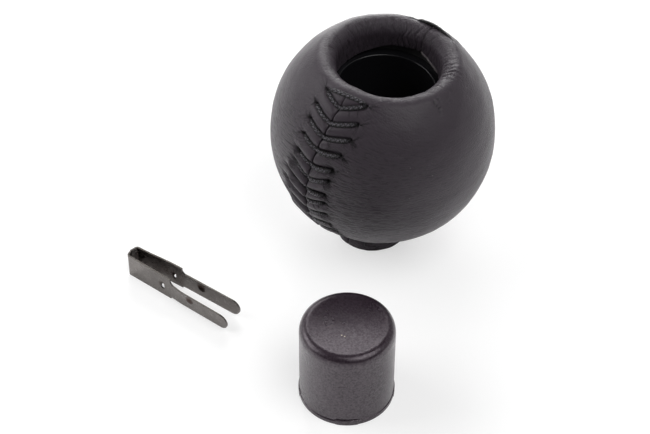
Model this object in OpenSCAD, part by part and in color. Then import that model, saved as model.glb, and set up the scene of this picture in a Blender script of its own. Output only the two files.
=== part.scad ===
// Leather-covered ball knob for a gear lever, shown with its cap and its spring clip taken out.
// The origin is the centre of the lever bore on the foot's face, with +Z up along the bore.
// The ball and its well sit on their own axis, a little to the right of and behind the lever bore.

/* [Ball] */
// Diameter across the leather at the ball's equator
ball_d = 50; // [44:0.5:60]
// Height of the straight band round the ball's equator
waist_h = 1.5; // [0:0.1:4]
// Distance between the ball's axis and the lever bore's axis
axis_offset = 2.2; // [0:0.1:3]
// Direction of the ball's axis from the lever bore, in degrees
axis_turn = 36; // [0:1:359]

/* [Mouth and neck] */
// Clear diameter between the leather walls of the mouth
throat_d = 22.8; // [22:0.1:26]
// Radius of the leather roll round the mouth
roll_r = 2.9; // [2.2:0.1:4]
// Height of the leather wall inside the mouth, from the hem to the roll
mouth_wall = 4.5; // [2:0.1:8]
// Diameter over the leather at the foot
neck_d = 16.8; // [16:0.2:20]
// Fillet radius where the ball turns into the neck
neck_fillet = 1.5; // [0.8:0.1:2.5]
// Length of the straight neck below that fillet
neck_l = 3.6; // [2:0.1:12]

/* [Leather] */
// Thickness of the leather
leather_t = 1.2; // [0.8:0.1:1.6]
// Room between the leather and the moulded ball, filled by the glue
skin_gap = 0.4; // [0.3:0.05:0.6]
// Gap between the two leather edges along a seam
edge_gap = 0.2; // [0.1:0.05:0.4]
// Height of the leather's hem above the sleeve rim
hem_lift = 0.5; // [0.3:0.1:1.5]
// Height of the leather's end above the foot's face
foot_lift = 0.3; // [0.2:0.1:1]
// Depth of the crease along a seam
crease_depth = 0.8; // [0.4:0.05:0.9]
// Half-width of that crease
crease_w = 1.3; // [0.8:0.1:2]
// Height of the pillows between two stitches
pillow_h = 0.3; // [0:0.05:0.4]
// Depth of the dent at a stitch hole
dent_depth = 0.4; // [0:0.05:0.5]
// Half-width of that dent
dent_w = 1; // [0.6:0.1:1.5]

/* [Lacing] */
// Direction of the front seam at the equator, in degrees
front_seam = 228; // [200:1:250]
// Direction of the rear seam at the equator, in degrees
rear_seam = 46; // [20:1:70]
// Turn of the front seam between the equator and the mouth, in degrees
front_twist = 6; // [-10:1:10]
// Turn of the rear seam between the equator and the mouth, in degrees
rear_twist = 0; // [-10:1:10]
// Distance from one stitch to the next along the seam
stitch_pitch = 3.65; // [3:0.05:4.5]
// Width of half a stitch, from the seam to its hole
stitch_w = 5.4; // [4:0.1:6.5]
// Rise of the stitch holes above the foot of their V
hole_rise = 1.6; // [0.5:0.1:2]
// Distance of the first V below the edge of the roll
first_stitch = 1.2; // [0.4:0.1:3]
// Diameter of the braided thread
thread_d = 0.9; // [0.6:0.05:1.1]
// Room between the thread and the leather
thread_clear = 0.13; // [0.1:0.01:0.2]

/* [Insert] */
// Bore of the sleeve that takes the cap
sleeve_d = 21.2; // [20.8:0.1:22]
// Wall of the sleeve
sleeve_wall = 1.5; // [1:0.1:1.6]
// Thickness of the rim flange
flange_t = 1.2; // [0.8:0.1:2]
// Depth of the well below the sleeve's rim
well_depth = 16.8; // [12:0.2:22]
// Thickness of the well's floor
floor_t = 2.5; // [1.5:0.1:4]
// Bore that takes the lever
lever_d = 10; // [8:0.5:11]
// Radial clearance between the insert and the moulded ball
insert_fit = 0.1; // [0.05:0.05:0.3]

/* [Cap] */
// Diameter of the cap at its crest
cap_d = 20; // [18:0.1:20.4]
// Extra diameter of the cap at its foot
cap_draft = 0.2; // [0:0.1:0.4]
// How far the side is drawn in between the crest and the foot
cap_waist = 0.22; // [0:0.02:0.4]
// Height of the cap's rim, round the finger dish
cap_h = 20.5; // [16:0.1:26]
// Radius of the rounded crest
crest_r = 3.8; // [2:0.1:4.5]
// Diameter of the finger dish in the cap's top
dish_d = 17.6; // [14:0.1:18]
// Depth of the finger dish
dish_depth = 0.8; // [0.6:0.1:2]
// Wall of the cap
cap_wall = 1.6; // [1:0.1:2.2]
// How far the bead at the foot stands out
bead_out = 0.1; // [0.05:0.01:0.2]
// Height of the bead
bead_h = 1.0; // [0.6:0.1:2]
// How far a snap tab stands out
tab_out = 0.3; // [0.2:0.05:0.4]
// Height of a snap tab
tab_h = 1.4; // [1:0.1:2.5]
// Width of a snap tab, in degrees round the cap
tab_angle = 27; // [15:1:45]

/* [Spring clip] */
// Length of the clip from its bend to its finger tips
clip_l = 29.8; // [24:0.2:36]
// Width of the spring strip
strip_w = 6; // [5:0.1:8]
// Thickness of the spring strip
strip_t = 0.4; // [0.3:0.05:0.7]
// Width over the clip at its bend
bend_w = 3.7; // [3:0.1:5]
// Width over the clip at its finger tips
tip_w = 4.8; // [4:0.1:7]
// Outer corner radius of the bend
bend_r = 0.9; // [0.7:0.05:1.2]
// How far the bend bows out between its corners
bend_bow = 0.25; // [0.1:0.05:0.5]
// Length of the full-width part of the legs
leg_l = 13.2; // [11:0.1:16]
// Width of a finger
finger_w = 4.1; // [3:0.1:4.5]
// Step below a finger
finger_step = 0.5; // [0.2:0.1:0.8]
// Fillet above a finger at its shoulder
shoulder_r = 0.9; // [0.5:0.1:1.2]
// Distance of the lanced hole from the bend
hole_x = 10.9; // [8:0.1:12]
// Height of the lanced hole
hole_h = 1.9; // [1:0.1:3]
// Width of the lanced hole
hole_w = 1.0; // [0.6:0.1:1.6]
// Distance of the detent dimple from the bend
dimple_x = 19.6; // [15:0.1:22]
// Diameter of the detent dimple
dimple_d = 2.3; // [1.5:0.1:3]
// Height of the detent dimple
dimple_h = 0.35; // [0.2:0.05:0.5]

/* [Layout] */
// Place of the cap to the right of the lever bore, negative to the left
cap_x = -6.3; // [-30:0.1:30]
// Place of the cap behind the lever bore, negative in front
cap_y = -49.4; // [-70:0.1:-40]
// Place of the clip's bend to the right of the lever bore
clip_x = -55; // [-80:0.1:-45]
// Place of the clip's bend behind the lever bore
clip_y = -13.9; // [-40:0.1:10]
// Direction in which the clip's fingers point, in degrees
clip_turn = -36; // [-80:1:0]

/* [Hidden] */
$fn = 96;
eps = 0.01;

ball_r = ball_d / 2;
ball_axis = axis_offset * [cos(axis_turn), sin(axis_turn)];
throat_r = throat_d / 2;
neck_r = neck_d / 2;
skin_t = leather_t + skin_gap;

// The section of the leather's outer face lies in the plane of the ball's axis, with its heights counted
// from the ball's centre. It runs from the hem up the mouth's wall, over the roll, down the upper half of
// the ball, its band and its lower half, through the neck fillet and down the neck.
band = waist_h / 2;
roll_c = [throat_r + roll_r, band + sqrt(pow(ball_r - roll_r, 2) - pow(throat_r + roll_r, 2))];
fillet_x = neck_r + neck_fillet;
fillet_c = [fillet_x, -band - sqrt(pow(ball_r + neck_fillet, 2) - pow(fillet_x, 2))];
roll_end = atan2(roll_c[1] - band, roll_c[0]);
ball_end = atan2(fillet_c[1] + band, fillet_c[0]);
arc_mm = PI / 180;
s_roll = mouth_wall;
s_ball = s_roll + (180 - roll_end) * arc_mm * roll_r;
s_band = s_ball + roll_end * arc_mm * ball_r;
s_low = s_band + waist_h;
s_fillet = s_low - ball_end * arc_mm * ball_r;
s_neck = s_fillet - ball_end * arc_mm * neck_fillet;
s_end = s_neck + neck_l;

// Heights above the foot: the ball's centre, the leather's hem, the sleeve's rim and the well's floor
ball_lift = foot_lift + neck_l - fillet_c[1];
shift_end = 0.3;
hem_z = ball_lift + roll_c[1] - mouth_wall;
sleeve_top = hem_z - hem_lift;
floor_z = sleeve_top - well_depth;

function clamp(x) = min(1, max(0, x));
function smooth(x) = let (t = clamp(x)) t * t * (3 - 2 * t);
function lerp(a, b, t) = a + (b - a) * t;

// A point of the section and its outward normal, as [radius, height, normal radius, normal height]
function section(s) =
    s < s_roll ? [throat_r, roll_c[1] - mouth_wall + s, -1, 0]
    : s < s_ball ? let (a = 180 - (s - s_roll) / roll_r / arc_mm)
        [roll_c[0] + roll_r * cos(a), roll_c[1] + roll_r * sin(a), cos(a), sin(a)]
    : s < s_band ? let (a = roll_end - (s - s_ball) / ball_r / arc_mm)
        [ball_r * cos(a), band + ball_r * sin(a), cos(a), sin(a)]
    : s < s_low ? [ball_r, band - (s - s_band), 1, 0]
    : s < s_fillet ? let (a = -(s - s_low) / ball_r / arc_mm)
        [ball_r * cos(a), ball_r * sin(a) - band, cos(a), sin(a)]
    : s < s_neck ? let (a = 180 + ball_end + (s - s_fillet) / neck_fillet / arc_mm)
        [fillet_c[0] + neck_fillet * cos(a), fillet_c[1] + neck_fillet * sin(a), -cos(a), -sin(a)]
    : [neck_r, fillet_c[1] - (s - s_neck), 1, 0];

// The ball's axis runs over into the lever bore's axis between the lower half of the ball and the neck
function axis_at(z) = ball_axis * smooth((z - neck_l) / (shift_end * ball_lift - neck_l));

// A point at the section length s and the direction az, moved out from the leather's face by h
function skin_point(s, az, h) =
    let (q = section(s), r = q[0] + q[2] * h, z = ball_lift + q[1] + q[3] * h, c = axis_at(z))
    [c[0] + r * cos(az), c[1] + r * sin(az), z];

// The true outward normal there, which leans with the shift from one axis to the other
function skin_normal(s, az) =
    unit(cross(skin_point(s + eps, az, 0) - skin_point(s - eps, az, 0),
               skin_point(s, az + 1, 0) - skin_point(s, az - 1, 0)));

// A seam is its direction at the equator and its turn up to the mouth. Below the equator it bows by half
// that turn the other way and comes back at the neck.
front = [front_seam, front_twist];
rear = [rear_seam, rear_twist];
rear_on = [rear_seam + 360, rear_twist];
function seam_az(seam, s) =
    seam[0] + (s < s_band ? seam[1] * (s_band - max(s, s_ball)) / (s_band - s_ball)
    : -seam[1] / 2 * sin(180 * clamp((s - s_band) / (s_fillet - s_band))));

// Stitches follow each other from the roll down to the foot
first_s = s_ball + first_stitch;
stitches = floor((s_end - thread_d - first_s) / stitch_pitch) + 1;

// Rows of the leather rise beside the seam as the legs of the stitches do
function rise_at(d) = hole_rise * (d < stitch_w ? d / stitch_w : max(0, 2 - d / stitch_w));
function row_fade(s) = smooth((s - s_roll) / (first_s - s_roll)) * smooth((s_end - s) / stitch_pitch);
function row_s(s, d) = s - rise_at(d) * row_fade(s);

// Height of the leather at a row and a distance from the seam: the crease, the pillows and the hole dents
function relief(s, d) =
    let (wave = cos(360 * (s - first_s) / stitch_pitch),
         on = smooth((s - first_s) / stitch_pitch + 1.5))
    -crease_depth * exp(-pow(d / crease_w, 2)) * lerp(0.6, 1, on)
    - pillow_h * sin(180 * clamp(d / (stitch_w * 1.25))) * wave * on
    - dent_depth * exp(-pow((d - stitch_w) / dent_w, 2)) * (1 + wave) / 2 * on;

// Place of a column beside a seam, on its left (side -1) or its right (side 1), and a point above it
function seam_col(seam, side, s, d) =
    let (t = row_s(s, d)) [t, seam_az(seam, t) + side * d / section(t)[0] / arc_mm];
function seam_point(seam, side, s, d, lift) =
    let (q = seam_col(seam, side, s, d))
    skin_point(q[0], q[1], relief(s, d)) + lift * skin_normal(q[0], q[1]);

// Rows from the hem to the foot, two to each stitch and four on the neck
rows = concat([0, s_roll], [for (i = [1:5]) lerp(s_roll, s_ball, i / 6)],
              [for (s = [first_s - stitch_pitch / 2:stitch_pitch / 2:s_fillet - stitch_pitch / 2]) s],
              [for (s = [first_s + stitch_pitch / 2 * ceil((s_fillet - stitch_pitch / 2 - first_s)
                         / (stitch_pitch / 2)):stitch_pitch / 4:s_end - stitch_pitch / 8]) s],
              [s_end]);
// Distances of the columns from a seam, and the even columns between
near = [edge_gap / 2, crease_w, stitch_w * 0.6, stitch_w, stitch_w * 1.5];
spans = 8;

// One row of a panel from its left seam to its right one, with the relief (lift 1) or without it (lift 0)
function panel_row(s, left, right, h, lift) =
    let (last = len(near) - 1,
         a = [for (d = near) seam_col(left, 1, s, d)],
         b = [for (d = near) seam_col(right, -1, s, d)])
    concat([for (k = [0:last]) skin_point(a[k][0], a[k][1], h + lift * relief(s, near[k]))],
           [for (k = [1:spans - 1], t = k / spans, d = near[last] * (1.4 - 0.4 * abs(2 * t - 1)))
               skin_point(row_s(s, d), lerp(a[last][1], b[last][1], t), h)],
           [for (k = [last:-1:0]) skin_point(b[k][0], b[k][1], h + lift * relief(s, near[k]))]);

// One leather panel between two seams as a closed shell: outer face, inner face and four edges
module leather_panel(left, right) {
    n = len(rows);
    m = 2 * len(near) + spans - 1;
    points = concat([for (s = rows) each panel_row(s, left, right, 0, 1)],
                    [for (s = rows) each panel_row(s, left, right, -leather_t, 0)]);
    in = n * m;
    quads = concat(
        [for (i = [0:n - 2], j = [0:m - 2], a = i * m + j) [a, a + 1, a + m + 1, a + m]],
        [for (i = [0:n - 2], j = [0:m - 2], a = in + i * m + j) [a, a + m, a + m + 1, a + 1]],
        [for (a = [0:m - 2]) [a + 1, a, in + a, in + a + 1]],
        [for (j = [0:m - 2], a = (n - 1) * m + j) [a, a + 1, in + a + 1, in + a]],
        [for (i = [0:n - 2], a = i * m) [a, a + m, in + a + m, in + a]],
        [for (i = [0:n - 2], a = i * m + m - 1) [a + m, a, in + a, in + a + m]]);
    polyhedron(points, [for (q = quads) each [[q[0], q[1], q[2]], [q[0], q[2], q[3]]]]);
}

// A thread swept along its points: a six-sided tube with closed ends
thread_sides = 6;
function unit(v) = v / norm(v);
module thread(path, out) {
    n = len(path);
    points = [for (i = [0:n - 1])
        let (t = unit(path[min(i + 1, n - 1)] - path[max(i - 1, 0)]),
             u = unit(cross(t, out[i])),
             v = cross(u, t))
        for (k = [0:thread_sides - 1], a = 360 * k / thread_sides)
            path[i] + thread_d / 2 * (cos(a) * u + sin(a) * v)];
    m = thread_sides;
    faces = concat(
        [for (i = [0:n - 2], k = [0:m - 1], l = (k + 1) % m)
            each [[i * m + k, (i + 1) * m + k, (i + 1) * m + l], [i * m + k, (i + 1) * m + l, i * m + l]]],
        [[for (k = [0:m - 1]) k]], [[for (k = [m - 1:-1:0]) (n - 1) * m + k]]);
    polyhedron(points, faces);
}

// One V stitch: from the left hole down into the crease and up to the right hole
module stitch(seam, s) {
    lift = thread_d / 2 + thread_clear;
    steps = [for (k = [3, 2, 1]) [-1, near[k]], [0, 0], for (k = [1, 2, 3]) [1, near[k]]];
    path = [for (q = steps) seam_point(seam, q[0], s, q[1], lift)];
    base = [for (q = steps) seam_point(seam, q[0], s, q[1], 0)];
    thread(path, [for (i = [0:len(steps) - 1]) unit(path[i] - base[i])]);
}

// The lacing of one seam: the V stitches and the bridge that closes the row at the mouth
module lacing(seam) {
    for (i = [0:stitches - 1]) stitch(seam, first_s + i * stitch_pitch);
    stitch(seam, first_s - stitch_pitch / 2);
}

module ball_body() {
    mouth_r = throat_r + skin_t;
    lip_r = roll_r - skin_t;
    core_r = ball_r - skin_t;
    lip_z = ball_lift + roll_c[1];
    well_r = sleeve_d / 2 + sleeve_wall + insert_fit;
    step_z = sleeve_top - flange_t;
    color("#2b2a2c") difference() {
        translate(ball_axis) rotate_extrude() difference() {
            union() {
                translate([0, ball_lift + band]) intersection() {
                    circle(core_r);
                    polygon([[0, 0], [0, -band], [ball_d, -band], [ball_d, 0],
                             ball_d * [cos(roll_end), sin(roll_end)]]);
                }
                translate([0, ball_lift - band]) square([core_r, waist_h]);
                translate([0, ball_lift - band]) intersection() {
                    circle(core_r);
                    translate([0, -ball_d]) square(ball_d);
                }
                translate([roll_c[0], lip_z]) circle(lip_r);
                translate([0, ball_lift]) square([roll_c[0], roll_c[1]]);
            }
            translate([-ball_d, 0]) square([ball_d, 2 * ball_d]);
            translate([-eps, floor_z - floor_t]) square([well_r + eps, ball_d]);
            translate([-eps, step_z]) square([mouth_r + eps, ball_d]);
        }
        translate([0, 0, -eps]) cylinder(r = neck_r - skin_t + insert_fit, h = floor_z);
    }
}

module insert() {
    tube_r = neck_r - skin_t;
    flange_r = throat_r + skin_t - insert_fit;
    under_z = floor_z - floor_t;
    color("#101011") difference() {
        union() {
            cylinder(r = tube_r, h = floor_z - eps);
            translate(ball_axis) rotate_extrude() {
                translate([0, under_z]) square([sleeve_d / 2 + sleeve_wall, floor_t]);
                translate([sleeve_d / 2, under_z]) square([sleeve_wall, sleeve_top - under_z]);
                translate([sleeve_d / 2, sleeve_top - flange_t])
                    square([flange_r - sleeve_d / 2, flange_t]);
            }
        }
        translate([0, 0, -eps]) cylinder(d = lever_d, h = floor_z + 2 * eps);
    }
}

module leather_front() color("#4a464a") leather_panel(front, rear_on);
module leather_back() color("#454145") leather_panel(rear, front);
module lacing_front() color("#161518") lacing(front);
module lacing_back() color("#161518") lacing(rear);

module button_cap() {
    foot_r = (cap_d + cap_draft) / 2;
    crest_x = cap_d / 2 - crest_r;
    crest_z = cap_h - sqrt(pow(crest_r, 2) - pow(dish_d / 2 - crest_x, 2));
    dish_r = (pow(dish_d / 2, 2) + pow(dish_depth, 2)) / (2 * dish_depth);
    roof_z = cap_h - dish_depth - cap_wall;
    color("#3a383a") translate([cap_x, cap_y, 0]) {
        rotate_extrude() difference() {
            union() {
                polygon([[0, 0], [foot_r, 0], [cap_d / 2 - cap_waist, crest_z * 0.6], [cap_d / 2, crest_z],
                         [crest_x, crest_z], [crest_x, cap_h], [0, cap_h]]);
                translate([crest_x, crest_z]) intersection() {
                    circle(crest_r);
                    square(crest_r);
                }
                square([foot_r + bead_out, bead_h]);
            }
            translate([0, cap_h - dish_depth + dish_r]) circle(dish_r, $fn = 180);
            translate([-eps, -eps]) square([cap_d / 2 - cap_wall + eps, roof_z + eps]);
            translate([-cap_d, -eps]) square([cap_d, cap_h * 2]);
        }
        for (a = [0:90:270])
            rotate([0, 0, a - tab_angle / 2]) rotate_extrude(angle = tab_angle)
                translate([foot_r - cap_wall / 2, 0]) square([cap_wall / 2 + tab_out, tab_h]);
    }
}

// Points of an arc in the plane
function arc(c, r, a0, a1, n = 8) =
    [for (i = [0:n]) let (a = lerp(a0, a1, i / n)) c + r * [cos(a), sin(a)]];

// Plan of one half of the clip's U on the positive side, moved in by t from its outer face
function clip_half(t) =
    let (r = bend_r - t, slope = atan2((tip_w - bend_w) / 2, clip_l))
    concat([[t, 0]], arc([bend_bow + bend_r, bend_w / 2 - bend_r], r, 180, 90 + slope),
           [[clip_l, tip_w / 2 - t]]);
module clip_plan(t) {
    half = clip_half(t);
    polygon(concat(half, [for (k = [len(half) - 1:-1:1]) [half[k][0], -half[k][1]]]));
}

// Side of a leg: the full-width part, the rounded finger and the filleted shoulder
module clip_side() {
    r = finger_w / 2;
    difference() {
        union() {
            square([leg_l, strip_w]);
            translate([leg_l - eps, finger_step]) square([clip_l - leg_l - r + eps, finger_w]);
            translate([clip_l - r, finger_step + r]) circle(r);
            translate([leg_l - eps, finger_step + finger_w - eps]) square(shoulder_r + eps);
        }
        translate([leg_l + shoulder_r, finger_step + finger_w + shoulder_r]) circle(shoulder_r, $fn = 48);
    }
}

module retaining_clip() {
    dimple_ball = (pow(dimple_d / 2, 2) + pow(dimple_h, 2)) / (2 * dimple_h);
    finger_mid = finger_step + finger_w / 2;
    face_y = lerp(bend_w, tip_w, dimple_x / clip_l) / 2;
    color("#6a6562") translate([clip_x, clip_y, 0]) rotate([0, 0, clip_turn]) difference() {
        union() {
            intersection() {
                linear_extrude(strip_w) difference() {
                    clip_plan(0);
                    clip_plan(strip_t);
                }
                rotate([90, 0, 0]) linear_extrude(2 * tip_w, center = true) clip_side();
            }
            for (side = [-1, 1])
                intersection() {
                    translate([dimple_x, side * (face_y + dimple_h - dimple_ball), finger_mid])
                        sphere(dimple_ball, $fn = 48);
                    translate([dimple_x, side * (face_y + (dimple_h - strip_t / 2) / 2), strip_w / 2])
                        cube([4 * dimple_d, strip_t / 2 + dimple_h, strip_w], center = true);
                }
        }
        for (side = [-1, 1])
            intersection() {
                translate([dimple_x, side * (face_y + dimple_h - dimple_ball), finger_mid])
                    sphere(dimple_ball - strip_t * 0.8, $fn = 48);
                translate([dimple_x, side * face_y / 2, strip_w / 2])
                    cube([4 * dimple_d, face_y, strip_w], center = true);
            }
        for (z = [-1, 1])
            translate([hole_x, 0, strip_w / 2 + z * (hole_h - hole_w) / 2])
                rotate([90, 0, 0]) cylinder(d = hole_w, h = 2 * tip_w, center = true, $fn = 32);
        translate([hole_x - hole_w / 2, -tip_w, strip_w / 2 - (hole_h - hole_w) / 2])
            cube([hole_w, 2 * tip_w, hole_h - hole_w]);
    }
}

ball_body();
insert();
leather_front();
leather_back();
lacing_front();
lacing_back();
button_cap();
retaining_clip();
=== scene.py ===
import bpy
import bmesh
import numpy as np
from mathutils import Matrix, Vector


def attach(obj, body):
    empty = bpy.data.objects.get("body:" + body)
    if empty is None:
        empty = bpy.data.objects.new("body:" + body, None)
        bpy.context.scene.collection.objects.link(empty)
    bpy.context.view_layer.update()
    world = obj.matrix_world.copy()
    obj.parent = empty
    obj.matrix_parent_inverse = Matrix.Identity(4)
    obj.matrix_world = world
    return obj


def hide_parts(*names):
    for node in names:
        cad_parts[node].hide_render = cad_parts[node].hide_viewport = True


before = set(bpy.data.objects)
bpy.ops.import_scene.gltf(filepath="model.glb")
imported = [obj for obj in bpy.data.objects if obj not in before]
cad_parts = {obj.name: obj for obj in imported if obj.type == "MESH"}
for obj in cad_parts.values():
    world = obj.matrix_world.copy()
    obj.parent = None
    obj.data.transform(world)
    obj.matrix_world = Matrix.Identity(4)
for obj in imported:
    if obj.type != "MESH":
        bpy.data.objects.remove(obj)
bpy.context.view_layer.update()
scene = bpy.context.scene
scene.view_settings.view_transform = "Standard"

# Camera
# The knob is seen from in front and above, through a long lens whose place and turn were fitted to the
# outlines of the ball, the mouth, the foot and the cap.
LENS_MM = 100.0
PITCH = np.radians(44.5)
ROLL = np.radians(0.16)
CAMERA_AT = (-0.011013, -0.299904, 0.297592)

ahead = np.array([0.0, np.cos(PITCH), -np.sin(PITCH)])
upward = np.array([0.0, np.sin(PITCH), np.cos(PITCH)])
rightward = np.array([1.0, 0.0, 0.0])
turned_right = rightward * np.cos(ROLL) + upward * np.sin(ROLL)
turned_up = upward * np.cos(ROLL) - rightward * np.sin(ROLL)

camera = bpy.data.objects.new("camera", bpy.data.cameras.new("camera"))
camera.data.lens = LENS_MM
camera.data.sensor_width = 36.0
camera.data.clip_start = 0.01
camera.data.clip_end = 20.0
turn = Matrix.Identity(4)
for column, axis in enumerate((turned_right, turned_up, -ahead)):
    for row in range(3):
        turn[row][column] = axis[row]
camera.matrix_world = Matrix.Translation(CAMERA_AT) @ turn
scene.collection.objects.link(camera)
scene.camera = camera


# Floor and light
# A white table before a narrow white wall that glows up to 45 degrees, with a weak lamp at the left and a
# soft one over the right front. The roof and the camera's side of the room are dark. The table shows near
# white with soft shadows, and it lights the pieces, bright further off and dark in front.
def new_material(name):
    """An empty node material, its node tree and its output node."""
    material = bpy.data.materials.new(name)
    material.use_nodes = True
    material.node_tree.nodes.clear()
    return material, material.node_tree, material.node_tree.nodes.new("ShaderNodeOutputMaterial")


def node(tree, kind, inputs=None, **settings):
    """A new shader node with its settings, its inputs set to values or linked to other nodes' sockets."""
    made = tree.nodes.new("ShaderNode" + kind)
    for name, value in settings.items():
        setattr(made, name, value)
    for name, value in (inputs or {}).items():
        if isinstance(value, bpy.types.NodeSocket):
            tree.links.new(value, made.inputs[name])
        else:
            made.inputs[name].default_value = value
    return made


def calc(tree, operation, *values):
    """The result of a sum or another operation on values and sockets."""
    return node(tree, "Math", dict(enumerate(values)), operation=operation).outputs[0]


def between(tree, value, start, end, first, last, easing="LINEAR"):
    """A value carried over from the range start to end to the range first to last, level outside of it."""
    return node(tree, "MapRange", {"Value": value, "From Min": start, "From Max": end, "To Min": first,
                                   "To Max": last}, interpolation_type=easing).outputs[0]


TABLE_HALF = 1.5
TABLE_SEEN = 0.46
TABLE_GLOW = 0.57
TABLE_WHITE = 0.72
TABLE_SHEEN = 0.68
FAR_GLOW = 0.55
NEAR_AND_FAR = (0.15, 0.50)
FRONT_EDGE = (-0.25, -0.10)
FRONT_SHADE = 0.25
WHITE = (1.0, 1.0, 1.0, 1)

table_white, tree, out = new_material("white_table")
path = node(tree, "LightPath")
seen = node(tree, "BsdfDiffuse", {"Color": (TABLE_SEEN, TABLE_SEEN, TABLE_SEEN, 1)})
glow = node(tree, "Emission", {"Color": WHITE, "Strength": TABLE_GLOW})
lit = node(tree, "AddShader", {0: seen.outputs[0], 1: glow.outputs[0]})
place = node(tree, "TexCoord").outputs["Object"]
reached = node(tree, "VectorMath", {0: place}, operation="LENGTH").outputs["Value"]
further = between(tree, reached, *NEAR_AND_FAR, 0.0, FAR_GLOW)
behind = between(tree, node(tree, "SeparateXYZ", {0: place}).outputs["Y"], *FRONT_EDGE, 0.0, 1.0)
far_glow = node(tree, "Emission", {"Color": WHITE, "Strength": calc(tree, "MULTIPLY", further, behind)})
white = calc(tree, "MULTIPLY_ADD", path.outputs["Is Glossy Ray"], TABLE_SHEEN, TABLE_WHITE)
shade = between(tree, behind, 0.0, 1.0, FRONT_SHADE, 1.0)
plain = node(tree, "BsdfDiffuse", {"Color": calc(tree, "MULTIPLY", white, shade)})
lighting = node(tree, "AddShader", {0: plain.outputs[0], 1: far_glow.outputs[0]})
mixed = node(tree, "MixShader", {0: path.outputs["Is Camera Ray"], 1: lighting.outputs[0], 2: lit.outputs[0]})
tree.links.new(mixed.outputs[0], out.inputs["Surface"])

table_mesh = bpy.data.meshes.new("table")
table_mesh.from_pydata([(x * TABLE_HALF, y * TABLE_HALF, 0) for x, y in ((-1, -1), (1, -1), (1, 1), (-1, 1))],
                       [], [(0, 1, 2, 3)])
table = bpy.data.objects.new("table", table_mesh)
table.data.materials.append(table_white)
scene.collection.objects.link(table)

WALL_WHITE = 0.52
WALL_TOP = (0.55, 0.85)
ROOM_FRONT = (-0.75, 0.15)
FRONT_WHITE = 0.10
ROOM_DARK = 0.06

world = bpy.data.worlds.new("room")
world.use_nodes = True
sky = world.node_tree
way = node(sky, "SeparateXYZ", {0: node(sky, "TexCoord").outputs["Generated"]})
low = between(sky, way.outputs["Z"], *WALL_TOP, WALL_WHITE, 0.0, "SMOOTHSTEP")
back = between(sky, way.outputs["Y"], *ROOM_FRONT, FRONT_WHITE, 1.0, "SMOOTHSTEP")
walls = calc(sky, "MULTIPLY_ADD", low, back, ROOM_DARK)
bright = calc(sky, "MAXIMUM", walls, node(sky, "LightPath").outputs["Is Camera Ray"])
sky.links.new(bright, sky.nodes["Background"].inputs["Strength"])
sky.nodes["Background"].inputs["Color"].default_value = WHITE
scene.world = world


def wall_light(name, at, size, watts):
    """A soft square lamp at a place, turned to the pieces."""
    lamp = bpy.data.lights.new(name, "AREA")
    lamp.shape = "RECTANGLE"
    lamp.size, lamp.size_y = size
    lamp.energy = watts
    made = bpy.data.objects.new(name, lamp)
    made.location = at
    aim = Vector((0.0, -0.01, 0.02)) - Vector(at)
    made.rotation_euler = aim.to_track_quat("-Z", "Y").to_euler()
    scene.collection.objects.link(made)


wall_light("far_wall", (0.0, 0.46, 0.22), (0.28, 0.47), 2.5)
wall_light("right_lamp", (0.27, -0.25, 0.61), (0.5, 0.5), 2.8)
wall_light("left_lamp", (-0.52, 0.08, 0.38), (0.5, 0.4), 2.1)


# Leather cover
# Two panels of smooth black leather, 1 mm thick, glued over the moulded ball. They meet along two laced
# seams, roll over the mouth into the well, where they end in an uneven cut hem, and run down the neck.
MM = 0.001
BALL_R = 25.0
BAND = 0.75
THROAT_R = 11.4
ROLL_R = 2.9
MOUTH_WALL = 4.5
NECK_R = 8.4
NECK_FILLET = 1.5
NECK_L = 3.6
FOOT_LIFT = 0.3
BALL_AXIS = 2.2 * np.array([np.cos(np.radians(36)), np.sin(np.radians(36))])
SHIFT_END = 0.3
MOUTH_LEAN = np.radians(2.6)
LEATHER_T = 1.0

roll_c = (THROAT_R + ROLL_R, BAND + np.sqrt((BALL_R - ROLL_R) ** 2 - (THROAT_R + ROLL_R) ** 2))
fillet_c = (NECK_R + NECK_FILLET, -BAND - np.sqrt((BALL_R + NECK_FILLET) ** 2 - (NECK_R + NECK_FILLET) ** 2))
roll_end = np.arctan2(roll_c[1] - BAND, roll_c[0])
ball_end = np.arctan2(fillet_c[1] + BAND, fillet_c[0])
s_roll = MOUTH_WALL
s_ball = s_roll + (np.pi - roll_end) * ROLL_R
s_band = s_ball + roll_end * BALL_R
s_low = s_band + 2 * BAND
s_fillet = s_low - ball_end * BALL_R
s_neck = s_fillet - ball_end * NECK_FILLET
s_end = s_neck + NECK_L
ball_lift = FOOT_LIFT + NECK_L - fillet_c[1]
hem_z = ball_lift + roll_c[1] - MOUTH_WALL


def smooth(x):
    """Smoothstep from 0 to 1."""
    t = np.clip(x, 0, 1)
    return t * t * (3 - 2 * t)


def bump(x, width):
    """A bell of height 1 and the given half-width."""
    return np.exp(-((x / width) ** 2))


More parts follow.
